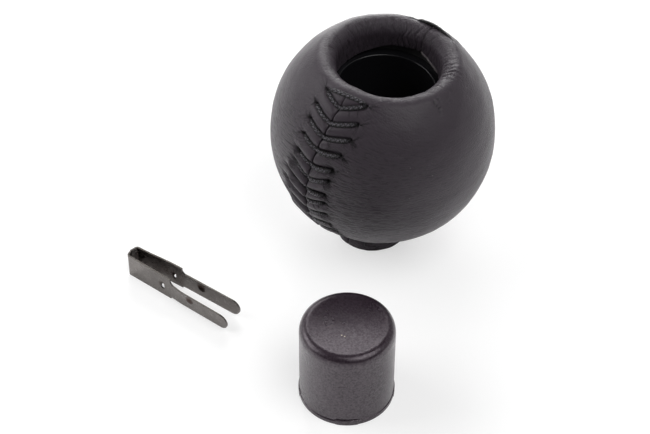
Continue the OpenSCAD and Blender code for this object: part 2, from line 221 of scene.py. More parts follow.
def section(s):
    """Radius, height over the ball's centre and outward normal of the cover's section at the length s:
    the mouth's wall, the roll, the upper half of the ball, its band, its lower half, the fillet, the neck."""
    a_roll = np.pi - (s - s_roll) / ROLL_R
    a_high = roll_end - (s - s_ball) / BALL_R
    a_low = -(s - s_low) / BALL_R
    a_fil = np.pi + ball_end + (s - s_fillet) / NECK_FILLET
    spans = [s < s_roll, s < s_ball, s < s_band, s < s_low, s < s_fillet, s < s_neck]
    flat = np.zeros_like(s)
    r = np.select(spans, [flat + THROAT_R, roll_c[0] + ROLL_R * np.cos(a_roll), BALL_R * np.cos(a_high),
                          flat + BALL_R, BALL_R * np.cos(a_low),
                          fillet_c[0] + NECK_FILLET * np.cos(a_fil)], flat + NECK_R)
    z = np.select(spans, [roll_c[1] - s_roll + s, roll_c[1] + ROLL_R * np.sin(a_roll),
                          BAND + BALL_R * np.sin(a_high), BAND - (s - s_band), BALL_R * np.sin(a_low) - BAND,
                          fillet_c[1] + NECK_FILLET * np.sin(a_fil)], fillet_c[1] - (s - s_neck))
    nr = np.select(spans, [flat - 1, np.cos(a_roll), np.cos(a_high), flat + 1, np.cos(a_low),
                           -np.cos(a_fil)], flat + 1)
    nz = np.select(spans, [flat, np.sin(a_roll), np.sin(a_high), flat, np.sin(a_low), -np.sin(a_fil)], flat)
    return r, z, nr, nz


def leant(x, y, z, share):
    """Points turned about the ball's centre to the right by a share of the mouth's lean."""
    a = MOUTH_LEAN * share
    x, z = x - BALL_AXIS[0], z - ball_lift
    return np.stack([BALL_AXIS[0] + x * np.cos(a) + z * np.sin(a), y + 0 * x,
                     ball_lift - x * np.sin(a) + z * np.cos(a)], -1)


def skin_point(s, az, h):
    """Point of the cover at the section length s and direction az (radians), moved out by h. The axis runs
    over from the ball's to the neck's by a smoothstep of the height, and the mouth leans a little to the
    right, less and less down to the ball's middle. In millimetres."""
    r, z, nr, nz = section(s)
    z = ball_lift + z + nz * h
    t = smooth((z - NECK_L) / (SHIFT_END * ball_lift - NECK_L))
    rr = r + nr * h
    share = 1 - smooth((s - s_ball) / (s_band - s_ball))
    return leant(BALL_AXIS[0] * t + rr * np.cos(az), BALL_AXIS[1] * t + rr * np.sin(az), z, share)


SEAMS = {"front": (np.radians(228.0), np.radians(6.0)), "rear": (np.radians(49.0), 0.0)}


def seam_az(seam, s):
    """Direction of a seam: it turns up to the mouth and bows the other way by half of that below the band."""
    base, twist = SEAMS[seam]
    up = twist * (s_band - np.maximum(s, s_ball)) / (s_band - s_ball)
    down = -twist / 2 * np.sin(np.pi * np.clip((s - s_band) / (s_fillet - s_band), 0, 1))
    return base + np.where(s < s_band, up, down)


STITCH_MM = 3.65
FIRST_S = s_ball + 1.2
STITCHES = int((s_end - 0.9 - FIRST_S) // STITCH_MM) + 1
FRONT_ROW = ((1.2, 5.0, 1.7, 5.1, 2.4), (1.3, 5.6, 1.8, 5.5, 2.0), (0.9, 5.1, 1.8, 6.0, 1.6),
             (0.5, 4.7, 1.5, 5.6, 1.0), (0.8, 4.2, 1.3, 5.0, 1.0), (0.9, 4.0, 2.2, 4.8, 1.8),
             (0.5, 4.1, 1.4, 4.6, 0.7), (0.5, 4.3, 1.6, 4.5, 1.8), (0.7, 4.4, 1.5, 4.7, 1.9))


def vertex_s(seam, i):
    """Section length of the foot of V number i. The first nine of the front seam stand as they were sewn,
    each a little off the even row, and the others wander a little too."""
    even = FIRST_S + i * STITCH_MM
    if seam == "front":
        return even + FRONT_ROW[min(max(i, 0), 8)][0] * (1 if i < 9 else max(0, (15 - i) / 7))
    return even + 0.25 * np.sin(2.7 * i + 1.0)


def stitch_hole(seam, side, i):
    """Distance of hole i from the seam, and its rise above the foot of its V."""
    if seam == "front" and i < 9:
        return FRONT_ROW[i][1:3] if side < 0 else FRONT_ROW[i][3:5]
    return (4.9 + 0.4 * np.sin(2.1 * i + side + len(seam)), 1.6 + 0.35 * np.sin(1.7 * i + 1.2 * side))


BUTT_MM, BUTT_W = 0.40, 0.16
PILLOW_MM, FOLD_MM = 0.30, 0.55
FOOT_MM, FOOT_W = 0.34, 0.9
LEG_MM, LEG_W = 0.34, 0.62
HOLE_MM, HOLE_W = 0.45, 0.38
FAN_MM, FAN_REACH = 0.13, 2.8


def relief(seam, side, s, d):
    """Height of the cover beside a seam, from the distance d to it. The two edges butt in a fine line and
    dip under the foot of each V. Between two legs the leather swells like a pillow, it sinks under each leg
    and into each hole, with a few folds that fan out from there, and low on the left the folds run on."""
    first = vertex_s(seam, 0)
    on = smooth((s - first) / STITCH_MM + 1.1) * smooth((s_end - s) / 2.0)
    low = smooth((s - s_band + 12) / 12) * smooth((s_neck - s) / 6)
    long_folds = low * (1.0 if side < 0 else 0.3)
    feet = np.array([vertex_s(seam, i) for i in range(-1, STITCHES + 1)])
    slant = s + 1.6 * np.clip(d / 5.0, 0, 1.5)
    wave = np.interp(slant, feet, np.arange(len(feet)))
    swell = (1 - np.cos(2 * np.pi * wave)) / 2
    size = 1 + 0.22 * np.sin(2.3 * np.floor(wave) + side)
    width = (4.2 + 1.6 * long_folds) * (1 + 0.16 * np.sin(2.9 * np.floor(wave) + 2 * side))
    shape = smooth((d + 0.3) / 0.9) * (1 - smooth((d - width + 0.8) / (4.4 - 2.2 * long_folds)))
    h = -BUTT_MM * bump(d, BUTT_W) * on
    if seam == "rear":
        h = h - 0.22 * bump(d, 0.3) * (1 - on) - 0.12 * bump(d, 1.2) * (1 - on)
    h = h + (PILLOW_MM + FOLD_MM * long_folds) * size * (np.sqrt(swell + 0.02) - 0.50) * shape * on
    h = h - FOOT_MM * bump(d, FOOT_W) * (1 - swell) * on
    for i in range(STITCHES):
        foot = vertex_s(seam, i)
        reach, rise = stitch_hole(seam, side, i)
        across = d / reach
        leg = s - (foot - rise * across)
        trough = bump(leg, LEG_W + 0.12 * long_folds) * smooth((d + 0.2) / 0.6)
        trough = trough * (1 - smooth((across - 0.95 - 0.30 * long_folds) / (0.12 + 0.9 * long_folds)))
        h = h - LEG_MM * (1 + long_folds) * trough
        from_d, from_s = d - reach, s - (foot - rise)
        away = np.hypot(from_d, from_s)
        h = h - HOLE_MM * bump(away, HOLE_W) - 0.12 * bump(away, 1.3)
        fan = np.arctan2(from_s - 0.35 * from_d, from_d)
        folds = np.cos(9 * fan + 1.7 * i) ** 8
        outward = smooth((np.cos(fan) - 0.1) / 0.6)
        h = h - FAN_MM * folds * outward * smooth((away - 0.35) / 0.6) * bump(away, FAN_REACH)
    return h


def ripple(x, y, seed, count=5):
    """A sum of slanted sine waves of about unit height, for surfaces that are slightly uneven."""
    total = 0.0
    for k in range(count):
        a = 2.4 * k + seed
        finer = 1 + 0.37 * k
        total = total + np.sin(x * np.cos(a) * finer + y * np.sin(a) * finer + 1.9 * k + seed)
    return total / count


HEM_HIGH = np.radians(56.0)
HEM_LIP = np.radians((12.0, 49.0))


def hem_shift(az):
    """How far the cut hem ends above its mean: high at the rear right, wavy all round."""
    away = np.angle(np.exp(1j * (az - HEM_HIGH)))
    return 2.3 * bump(away, 0.75) + 0.22 * np.sin(4 * az + 0.7) + 0.12 * np.sin(9 * az)


def hem_lip(s, az):
    """Share of the bared lip where the cut hem of the front panel curls out of the wall at the rear right."""
    along = smooth((az - HEM_LIP[0]) / np.radians(8)) * (1 - smooth((az - HEM_LIP[1]) / np.radians(2)))
    return along * (1 - smooth((s - 0.05) / 0.22))


def body_relief(s, az):
    """Height of the cover away from the seams: a soft unevenness, and a fuller roll beside the front seam."""
    away = np.angle(np.exp(1j * (az - np.radians(238))))
    h = 0.10 * ripple(s * 0.35, az * 6.0, 0.4) + 0.04 * ripple(s * 0.9, az * 16.0, 2.2)
    return h + 0.40 * bump(away, 0.34) * bump(s - s_roll - 3.2, 3.0)


CREASES = ((305.5, 3.2, 4.4, 0.30), (309.0, 2.6, 3.0, 0.20), (300.5, 3.6, 1.8, 0.14),
           (317.0, 4.2, 4.0, 0.16), (323.0, 3.0, 2.4, 0.12), (334.0, 0.0, 0.6, 0.10),
           (340.0, -0.6, 0.9, 0.13), (345.0, -0.9, 1.1, 0.14), (350.0, -1.1, 0.6, 0.13),
           (356.0, -1.3, 0.2, 0.10), (3.0, -1.5, 0.0, 0.09))


def rim_creases(s, az):
    """Short sharp folds that run from the roll down the ball at the right of the mouth: a fine line with a
    soft fold beside it. Each has a direction in degrees, its two ends along the section, and a depth."""
    h = 0.0
    for where, start, length, depth in CREASES:
        bend = 0.012 * np.sin(2.2 * (s - s_ball) + where) + 0.006 * (s - s_ball)
        off = np.angle(np.exp(1j * (az - np.radians(where) - bend))) * 17
        along = smooth((s - s_ball + 4.5 - start) / 1.5) * (1 - smooth((s - s_ball + 3.0 - length) / 2.5))
        h = h - 1.5 * depth * along * (bump(off, 0.13) - 0.2 * bump(off - 0.5, 0.4))
    return h


WALL_FOLDS = 46


def wall_folds(s, az):
    """Narrow upright folds of the leather pulled into the mouth, where it has to fit a smaller ring."""
    inside = 1 - smooth((s - s_roll - 3.5) / 4.0)
    h = 0.0
    for k in range(WALL_FOLDS):
        where = 2 * np.pi * (k + 0.36 * np.sin(7.3 * k)) / WALL_FOLDS
        off = np.angle(np.exp(1j * (az - where - 0.03 * np.sin(1.3 * s + k)))) * 12.5
        length = 1 - smooth((s - s_roll - 1.8 - 2.2 * np.sin(3.1 * k)) / 2.0)
        h = h - (0.18 + 0.11 * np.sin(5.7 * k)) * length * bump(off, 0.17 + 0.06 * np.sin(2.9 * k))
    near = bump(np.angle(np.exp(1j * (az - np.radians(245)))), 1.0)
    return h * inside * (1 - 0.8 * near)


ROWS = 480
NEAR_MM = 10.0
NEAR_COLUMNS = 58
MID_COLUMNS = 78
EDGE_MM = 0.03
SEAM_REACH = 9.0
LIP_MM = 0.35
WRINKLE_LENGTH = 22.0
TURNED = (1.0, 0.6, 0.25)


def leather_panel(left, right):
    """One panel as a grid: rows along the section from the turned hem to the turned foot end, columns from
    the turned edge at its left seam to the one at its right seam."""
    walk = np.linspace(0, s_end, ROWS)
    rows_s = np.concatenate([np.zeros(3), walk, np.full(3, s_end)])
    rows_drop = np.concatenate([TURNED, np.zeros(ROWS), TURNED[::-1]])
    near = np.linspace(0, NEAR_MM, NEAR_COLUMNS)
    s = rows_s[:, None]
    gap = EDGE_MM * smooth((s - FIRST_S) / 2.0)
    turned_left = seam_az(left, s) + 0 * s
    turned_right_az = seam_az(right, s) + (2 * np.pi if right == "rear" else 0)
    r = section(s)[0]
    left_az = turned_left + np.maximum(near[None, :], gap) / r
    right_az = turned_right_az - np.maximum(near[None, ::-1], gap) / r
    t = np.linspace(0, 1, MID_COLUMNS + 2)[None, 1:-1]
    mid_az = left_az[:, -1:] * (1 - t) + right_az[:, :1] * t
    az = np.concatenate([left_az[:, :1].repeat(3, 1), left_az, mid_az, right_az,
                         right_az[:, -1:].repeat(3, 1)], 1)
    drop = np.concatenate([TURNED, np.zeros(az.shape[1] - 6), TURNED[::-1]])[None, :]
    s = np.broadcast_to(s, az.shape).copy()
    d_left = (az - turned_left) * r
    d_right = (turned_right_az - az) * r
    wall = 1 - smooth(s / s_roll)
    s = s + hem_shift(az) * wall
    h = relief(left, 1, s, d_left) * (1 - smooth((d_left - SEAM_REACH) / 3))
    h = h + relief(right, -1, s, d_right) * (1 - smooth((d_right - SEAM_REACH) / 3))
    d = np.minimum(d_left, d_right)
    h = h + body_relief(s, az) + wall_folds(s, az)
    lip = 0 * h
    if left == "front":
        h = h + rim_creases(s, az)
        lip = hem_lip(rows_s[:, None] + 0 * s, np.angle(np.exp(1j * az)))
        h = h + LIP_MM * lip
    h = h - LEATHER_T * np.maximum(drop, rows_drop[:, None])
    points = skin_point(s, az, h)
    roll = 1 - smooth((s - s_roll - 2.5) / 4.0)
    fall = 0.72 * (1 - smooth((s - 15.0) / 20.0))
    settled = WRINKLE_LENGTH * (1 - np.exp(-np.maximum(d, 0) / WRINKLE_LENGTH))
    lay = np.stack([d, s - fall * settled], -1) / 100
    turned = np.stack([s, az * 14.0], -1) / 100
    pull = np.exp(-np.maximum(d - 2, 0) / 16.0) * smooth((d - 1.0) / 5.0)
    pull = pull * (0.15 + 0.85 * smooth((s - s_ball - 4.0) / 12.0))
    cut = np.maximum((rows_drop[:, None] > 0) * (s < s_roll), lip)
    # The mark low is the share of painted shade where the cover is sunk under the legs, into the holes and
    # folds.
    return points, lay, turned, {"roll": roll, "pull": pull, "low": smooth((-0.14 - h) / 0.5), "cut": cut}


def grid_object(name, points, maps=None, closed_u=False, closed_v=False, marks=None):
    """A quad mesh over a grid of points in millimetres, with UV maps and named values at the points. Going
    down the rows and then along the columns, the faces point to the left of the way, outwards here."""
    n, m = points.shape[:2]
    index = np.arange(n * m).reshape(n, m)
    if closed_u:
        index = np.concatenate([index, index[:1]], 0)
    if closed_v:
        index = np.concatenate([index, index[:, :1]], 1)
    quads = np.stack([index[:-1, :-1], index[1:, :-1], index[1:, 1:], index[:-1, 1:]], -1).reshape(-1, 4)
    mesh = bpy.data.meshes.new(name)
    mesh.vertices.add(n * m)
    mesh.vertices.foreach_set("co", (points * MM).reshape(-1).astype(np.float32))
    mesh.loops.add(quads.size)
    mesh.loops.foreach_set("vertex_index", quads.reshape(-1).astype(np.int32))
    mesh.polygons.add(len(quads))
    mesh.polygons.foreach_set("loop_start", np.arange(0, quads.size, 4, dtype=np.int32))
    mesh.polygons.foreach_set("use_smooth", np.ones(len(quads), dtype=bool))
    mesh.update(calc_edges=True)
    for key, uv in (maps or {}).items():
        layer = mesh.uv_layers.new(name=key)
        layer.data.foreach_set("uv", uv.reshape(-1, 2)[quads.reshape(-1)].reshape(-1).astype(np.float32))
    for key, value in (marks or {}).items():
        mark = mesh.attributes.new(key, "FLOAT", "POINT")
        mark.data.foreach_set("value", np.broadcast_to(value, (n, m)).reshape(-1).astype(np.float32))
    mesh.validate()
    made = bpy.data.objects.new(name, mesh)
    scene.collection.objects.link(made)
    return made


def noise(tree, vector, scale, detail=2.0, roughness=0.5, distortion=0.0):
    """The value of a noise texture."""
    return node(tree, "TexNoise", {"Vector": vector, "Scale": scale, "Detail": detail, "Roughness": roughness,
                                   "Distortion": distortion}).outputs[0]


def blend(tree, share, first, second):
    """A colour between two colours, each given as red, green and blue or as a socket."""
    first, second = [(*end, 1) if isinstance(end, tuple) else end for end in (first, second)]
    return node(tree, "Mix", {"Factor": share, "A": first, "B": second}, data_type="RGBA").outputs["Result"]


def bumped(tree, height, strength, depth, normal=None):
    """The normal bumped by a height over a depth in metres, on top of another bumped normal."""
    below = {"Normal": normal} if normal else {}
    return node(tree, "Bump", {"Height": height, "Strength": strength, "Distance": depth, **below}).outputs[0]


def specks(tree, place, scale, core, edge, strength):
    """Share of dust at a place: a dot in each cell of a mesh, from its core to its edge."""
    off = node(tree, "TexVoronoi", {"Vector": place, "Scale": scale}).outputs["Distance"]
    return between(tree, off, core, edge, strength, 0.0)


def covered(tree, out, inputs):
    """Gives a material a principled surface with these inputs."""
    tree.links.new(node(tree, "BsdfPrincipled", inputs).outputs[0], out.inputs["Surface"])


def leather_material():
    """Satin black leather: a fine pebble, sunk wrinkles that run away from the seams and fade into the
    smooth stretched middle, upright folds on the roll, duller creases with painted shade in them, painted
    shade where the cover sinks beside the seams, and a few dust specks."""
    material, tree, out = new_material("black_leather")
    place = node(tree, "TexCoord").outputs["Object"]
    lay, turned = [node(tree, "UVMap", uv_map=key).outputs[0] for key in ("lay", "turned")]
    roll, pull, low, cut = [node(tree, "Attribute", attribute_name=key).outputs["Fac"]
                            for key in ("roll", "pull", "low", "cut")]
    along = node(tree, "Mapping", {"Vector": lay, "Scale": (50.0, 210.0, 1.0)}).outputs[0]
    wrinkle = between(tree, noise(tree, along, 1.0, distortion=0.3), 0.39, 0.54, 0.0, 1.0, "SMOOTHSTEP")
    down = node(tree, "Mapping", {"Vector": turned, "Scale": (45.0, 260.0, 1.0)}).outputs[0]
    off = calc(tree, "SUBTRACT", noise(tree, down, 1.0, 3.0, 0.55, 0.35), 0.5)
    pleats = between(tree, calc(tree, "ABSOLUTE", off), 0.0, 0.10, 0.0, 1.0, "SMOOTHSTEP")
    folds = calc(tree, "MULTIPLY_ADD", pleats, 0.45, 0.55)
    faded = node(tree, "Mix", {"Factor": pull, "A": 0.8, "B": wrinkle}, data_type="FLOAT").outputs[0]
    lines = node(tree, "Mix", {"Factor": roll, "A": faded, "B": folds}, data_type="FLOAT").outputs[0]
    pebble = node(tree, "TexVoronoi", {"Vector": place, "Scale": 2300.0}).outputs["Distance"]
    normal = bumped(tree, lines, 1.0, 0.00018)
    normal = bumped(tree, pebble, 0.45, 0.00007, normal)
    normal = bumped(tree, noise(tree, place, 4200.0), 0.4, 0.00004, normal)
    tone = blend(tree, noise(tree, place, 90.0, 3.0), (0.039, 0.031, 0.039), (0.049, 0.039, 0.049))
    # Painted shade: the wrinkle valleys and the pleats on the roll are painted darker, as shade in the
    # creases.
    tone = blend(tree, lines, (0.014, 0.011, 0.014), tone)
    # Painted shade where the cover sinks under the legs, into the holes and along the folds, by the mark low.
    tone = blend(tree, low, tone, (0.010, 0.008, 0.010))
    tone = blend(tree, specks(tree, place, 330.0, 0.025, 0.045, 0.6), tone, (0.20, 0.19, 0.19))
    tone = blend(tree, cut, tone, (0.13, 0.115, 0.115))
    rough = between(tree, lines, 0.0, 1.0, 0.56, 0.43)
    covered(tree, out, {"Base Color": tone, "Roughness": rough, "Specular IOR Level": 0.25, "Normal": normal})
    return material


black_leather = leather_material()
for name, left, right, cad in (("leather_front_panel", "front", "rear", "leather_front"),
                               ("leather_back_panel", "rear", "front", "leather_back")):
    points, lay, turned, marks = leather_panel(left, right)
    panel = grid_object(name, points, {"lay": lay, "turned": turned}, marks=marks)
    panel.data.materials.append(black_leather)
    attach(panel, "root")
    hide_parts(cad)

# Lacing
# Waxed black thread, braided, 0.9 mm thick. Each stitch comes out of the seam, goes up to a hole on either
# side and back under the leather, so that a row of V's closes each seam from the mouth to the foot.
STRANDS = 4
LAY_MM = 2.1
STEP_MM = 0.11
BRAID_WIDE, BRAID_FLAT = 0.43, 0.30
STRAND_WIDE, STRAND_FLAT = 0.14, 0.12
STRAND_SIDES = 5


def polyline(points, count):
    """Points at even steps along a smoothed line through the given points."""
    steps = np.concatenate([[0], np.cumsum(np.linalg.norm(np.diff(points, axis=0), axis=1))])
    at = np.linspace(0, steps[-1], count)
    line = np.stack([np.interp(at, steps, points[:, k]) for k in range(3)], -1)
    for _ in range(6):
        line[1:-1] = (line[:-2] + 2 * line[1:-1] + line[2:]) / 4
    return line, at


def seam_surface(seam, side, s, d):
    """Points on the cover beside a seam, relief included, and the outward normals there."""
    r = section(s)[0]
    az = seam_az(seam, s) + side * d / r
    h = relief(seam, side, s, d)
    p = skin_point(s, az, h)
    e = 0.01
    ds = skin_point(s + e, az, 0 * h) - skin_point(s - e, az, 0 * h)
    da = skin_point(s, az + e, 0 * h) - skin_point(s, az - e, 0 * h)
    n = np.cross(ds, da)
    return p, n / np.linalg.norm(n, axis=-1, keepdims=True)


def stitch_line(seam, i):
    """The way of one V: up out of the left hole, over the leather to the seam, down into the crease, and
    the same to the right. The thread lies half a thickness above the leather and dips in at both ends."""
    parts = []
    for side in (-1, 1):
        reach, rise = stitch_hole(seam, side, i)
        t = np.linspace(1.05, 0.0, 40)
        s = vertex_s(seam, i) - rise * t + 0.12 * np.sin(np.pi * t)
        p, n = seam_surface(seam, side, s, t * reach)
        lift = (0.20 if side < 0 else 0.40) - 1.0 * (1 - smooth((1.05 - t) / 0.12)) - 0.15 * bump(t, 0.06)
        parts.append(p + n * lift[:, None])
    return np.concatenate([parts[0], parts[1][::-1][1:]])


def bridge_line(seam):
    """The thread that closes the row at the mouth, from the first left hole across to the first right one.
    It is pulled straight and lies on the pillows."""
    ends = []
    for side in (-1, 1):
        reach, rise = stitch_hole(seam, side, 0)
        p, n = seam_surface(seam, side, np.array([vertex_s(seam, 0) - rise - 0.35]), np.array([reach]))
        ends.append((p[0], n[0]))
    t = np.linspace(0, 1, 80)[:, None]
    (p0, n0), (p1, n1) = ends
    middle = (n0 + n1) / np.linalg.norm(n0 + n1)
    arch = 0.85 * np.sin(np.pi * t) + 0.25
    dip = 1.1 * (1 - smooth(t / 0.06)) + 1.1 * (1 - smooth((1 - t) / 0.06))
    return p0 * (1 - t) + p1 * t + middle * (arch - dip)


def braid(line, at, out_hint):
    """Tubes that wind round a line, half of them each way, and dodge over and under each other. Each tube
    is a ring of sides carried along its own winding, with the share of painted highlight on its outer
    crowns. The braid is flatter than wide and thins to its ends."""
    t = np.gradient(line, axis=0)
    t /= np.linalg.norm(t, axis=1, keepdims=True)
    u = np.cross(t, out_hint)
    u /= np.linalg.norm(u, axis=1, keepdims=True)
    v = np.cross(u, t)
    full = 0.45 + 0.55 * smooth(np.minimum(at, at[-1] - at) / 2.4)
    open_air = smooth(np.minimum(at, at[-1] - at) / 1.6 - 0.5)
    grids = []
    for hand in (-1, 1):
        for k in range(STRANDS):
            turn_a = hand * (2 * np.pi * at / LAY_MM) + 2 * np.pi * k / STRANDS + (0.4 if hand > 0 else 0)
            sway = np.cos(2 * STRANDS * np.pi * at / LAY_MM + np.pi * k)
            radius = full * (1 + 0.12 * hand * sway)
            wide = (BRAID_WIDE * radius)[:, None]
            flat = (BRAID_FLAT * radius)[:, None]
            out_u, out_v = np.cos(turn_a)[:, None] * u, np.sin(turn_a)[:, None] * v
            centre = line + wide * out_u + flat * out_v
            ct = np.gradient(centre, axis=0)
            ct /= np.linalg.norm(ct, axis=1, keepdims=True)
            side = np.cross(ct, out_u + out_v)
            side /= np.linalg.norm(side, axis=1, keepdims=True)
            lift = np.cross(side, ct)
            a = np.linspace(0, 2 * np.pi, STRAND_SIDES, endpoint=False)[None, :, None]
            ring = STRAND_WIDE * np.cos(a) * side[:, None] + STRAND_FLAT * np.sin(a) * lift[:, None]
            # The crown share marks the outer crowns of the strands, away from the thread's ends, for a
            # painted highlight.
            crown = open_air * smooth((np.sin(turn_a) - 0.62) / 0.30) * smooth((hand * sway + 0.1) / 0.7)
            crown = crown[:, None] * smooth(np.sin(a[:, :, 0]) + 0.3)
            grids.append((centre[:, None, :] + ring * full[:, None, None], crown))
    return grids


HAIR_MM = {-1: 0.9, 1: 1.7}
HAIR_R = 0.085
HAIRS = np.array([(1.05, -0.9), (1.05, -0.45), (1.05, -0.1), (1.05, 0.3), (1.05, 0.7), (1.05, 1.1),
                  (0.78, 1.0), (0.60, -0.9), (0.42, 1.2), (0.24, -1.1), (0.16, 1.0)])


def loose_hairs(seam, side, i):
    """Frayed fibres of a stitch: fine tapered hairs, each a little bent, most of them fanned out over the
    leather at the hole and a few along the thread, longer on the right. Each starts at a share of the
    stitch, with a heading."""
    reach, rise = stitch_hole(seam, side, i)
    t = np.linspace(0, 1, 9)[None, :]
    k = np.arange(len(HAIRS))[:, None]
    share, turn = HAIRS[:, :1], HAIRS[:, 1:]
    length = HAIR_MM[side] * (1 + 0.5 * np.sin(3.7 * i + 2.3 * k + side))
    heading = 0.4 * side + turn + 0.35 * np.sin(1.9 * i + 1.3 * k) + 0.5 * np.cos(2.6 * k + i) * t
    d = reach * share + length * t * np.cos(heading)
    s = vertex_s(seam, i) - rise * share + length * t * np.sin(heading)
    p, n = seam_surface(seam, side, s, d)
    across = np.cross(np.gradient(p, axis=1), n)
    across /= np.linalg.norm(across, axis=2, keepdims=True)
    centre = p + n * (0.02 + 0.12 * np.sin(np.pi * t))[:, :, None]
    a = np.radians([90.0, 210.0, 330.0])[:, None]
    ring = np.cos(a) * across[:, :, None] + np.sin(a) * n[:, :, None]
    grids = centre[:, :, None] + HAIR_R * (1 - 0.75 * t)[:, :, None, None] * ring
    return [(grid, np.zeros(grid.shape[:2])) for grid in grids]


def lacing(seam):
    """All the stitches of a seam and their loose fibres as one mesh of thin tubes with closed ends."""
    verts, faces, crowns, count = [], [], [], 0
    tubes = []
    for line in [stitch_line(seam, i) for i in range(STITCHES)] + [bridge_line(seam)]:
        length = np.linalg.norm(np.diff(line, axis=0), axis=1).sum()
        smooth_line, at = polyline(line, int(length / STEP_MM))
        hint = smooth_line - np.array([BALL_AXIS[0], BALL_AXIS[1], ball_lift])
        tubes += braid(smooth_line, at, hint)
    for i in range(STITCHES):
        tubes += loose_hairs(seam, -1, i) + loose_hairs(seam, 1, i)
    for grid, crown in tubes:
        n, m = grid.shape[:2]
        index = np.arange(n * m).reshape(n, m) + count
        wrapped = np.concatenate([index, index[:, :1]], 1)
        quads = np.stack([wrapped[:-1, :-1], wrapped[:-1, 1:], wrapped[1:, 1:], wrapped[1:, :-1]], -1)
        verts.append(grid.reshape(-1, 3))
        crowns.append(crown.reshape(-1))
        faces.extend(quads.reshape(-1, 4).tolist())
        faces.append(index[0, ::-1].tolist())
        faces.append(index[-1].tolist())
        count += n * m
    mesh = bpy.data.meshes.new("lacing_" + seam)
    mesh.from_pydata((np.concatenate(verts) * MM).tolist(), [], faces)
    mesh.polygons.foreach_set("use_smooth", np.ones(len(mesh.polygons), dtype=bool))
    work = bmesh.new()
    work.from_mesh(mesh)
    bmesh.ops.recalc_face_normals(work, faces=work.faces)
    work.to_mesh(mesh)
    work.free()
    mark = mesh.attributes.new("crown", "FLOAT", "POINT")
    mark.data.foreach_set("value", np.concatenate(crowns).astype(np.float32))
    made = bpy.data.objects.new("lacing_" + seam, mesh)
    scene.collection.objects.link(made)
    return made


def thread_material():
    """Waxed black thread: near black fibres with a soft shine, and a pale painted highlight on the
    crowns of the braid.
    """
    material, tree, out = new_material("waxed_thread")
    fibres = noise(tree, node(tree, "TexCoord").outputs["Object"], 9000.0, 3.0)
    crown = node(tree, "Attribute", attribute_name="crown").outputs["Fac"]
    # Painted highlight: pale flecks on the crowns of the braid stand for the shine of the strands.
    painted_glint = calc(tree, "MULTIPLY", crown, between(tree, fibres, 0.35, 0.65, 0.02, 0.26))
    tone = blend(tree, fibres, (0.003, 0.003, 0.003), (0.010, 0.009, 0.010))
    tone = blend(tree, painted_glint, tone, (0.86, 0.80, 0.92))
    covered(tree, out, {"Base Color": tone, "Roughness": 0.30, "Specular IOR Level": 0.25,
                        "Normal": bumped(tree, fibres, 0.5, 0.00004)})
    return material


waxed_thread = thread_material()
for seam, cad in (("front", "lacing_front"), ("rear", "lacing_back")):
    thread = lacing(seam)
    thread.data.materials.append(waxed_thread)
    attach(thread, "root")
    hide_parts(cad)

# Insert and moulded ball
# The insert is a glossy black moulding: the sleeve that lines the well, its rim flange, the well's floor and
# the neck tube. The matt moulded ball round it shows only under the hem and at the foot.
SLEEVE_R = 10.6
SLEEVE_WALL = 1.5
SLEEVE_TOP = hem_z - 0.5
FLANGE_T = 1.2
FLANGE_R = THROAT_R + 1.5
FLOOR_Z = SLEEVE_TOP - 16.8
FLOOR_T = 2.5
TUBE_R = NECK_R - 1.6
LEVER_R = 5.0


def lathe(name, profile, axis, turns, share, marks=None):
    """A closed half section in millimetres carried round an axis, and leant with the mouth."""
    az = np.linspace(0, 2 * np.pi, turns, endpoint=False)
    r, z = profile[:, :1], profile[:, 1:]
    points = leant(axis[0] + r * np.cos(az), axis[1] + r * np.sin(az), z + 0 * az, share)
    return grid_object(name, points, closed_u=True, closed_v=True,
                       marks={k: v[:, None] for k, v in (marks or {}).items()})


def rounded(corners, radii, count=6):
    """A closed outline through corners, each rounded by its own radius."""
    outline, edge = [], []
    size = len(corners)
    for k in range(size):
        before, here, after = corners[k - 1], corners[k], corners[(k + 1) % size]
        to_before = (before - here) / np.linalg.norm(before - here)
        to_after = (after - here) / np.linalg.norm(after - here)
        t = np.linspace(0, 1, count)[:, None]
        start, end = here + to_before * radii[k], here + to_after * radii[k]
        outline.append((1 - t) ** 2 * start + 2 * t * (1 - t) * here + t ** 2 * end)
        edge.append(np.sin(np.pi * t[:, 0]) ** 0.5 if radii[k] > 0.2 else np.zeros(count))
    return np.concatenate(outline), np.concatenate(edge)


def gloss_material():
    """Glossy black moulded plastic with soft mould waves, a pale painted highlight along the rim, and dust
    specks.
    """
    material, tree, out = new_material("gloss_insert")
    place = node(tree, "TexCoord").outputs["Object"]
    rim = node(tree, "Attribute", attribute_name="rim").outputs["Fac"]
    black = (0.006, 0.006, 0.007)
    painted_rim_glint = between(tree, noise(tree, place, 700.0), 0.40, 0.66, 0.15, 1.0)
    tone = blend(tree, painted_rim_glint, black, (0.30, 0.265, 0.23))
    tone = blend(tree, specks(tree, place, 520.0, 0.06, 0.09, 0.7), tone, (0.45, 0.43, 0.40))
    # Painted highlight: the rounded rim is painted pale in patches, as a line of light along its edge.
    tone = blend(tree, rim, black, tone)
    dents = bumped(tree, noise(tree, place, 300.0, 3.0), 0.15, 0.0001)
    covered(tree, out, {"Base Color": tone, "Roughness": 0.24, "Specular IOR Level": 0.5, "Normal": dents})
    return material


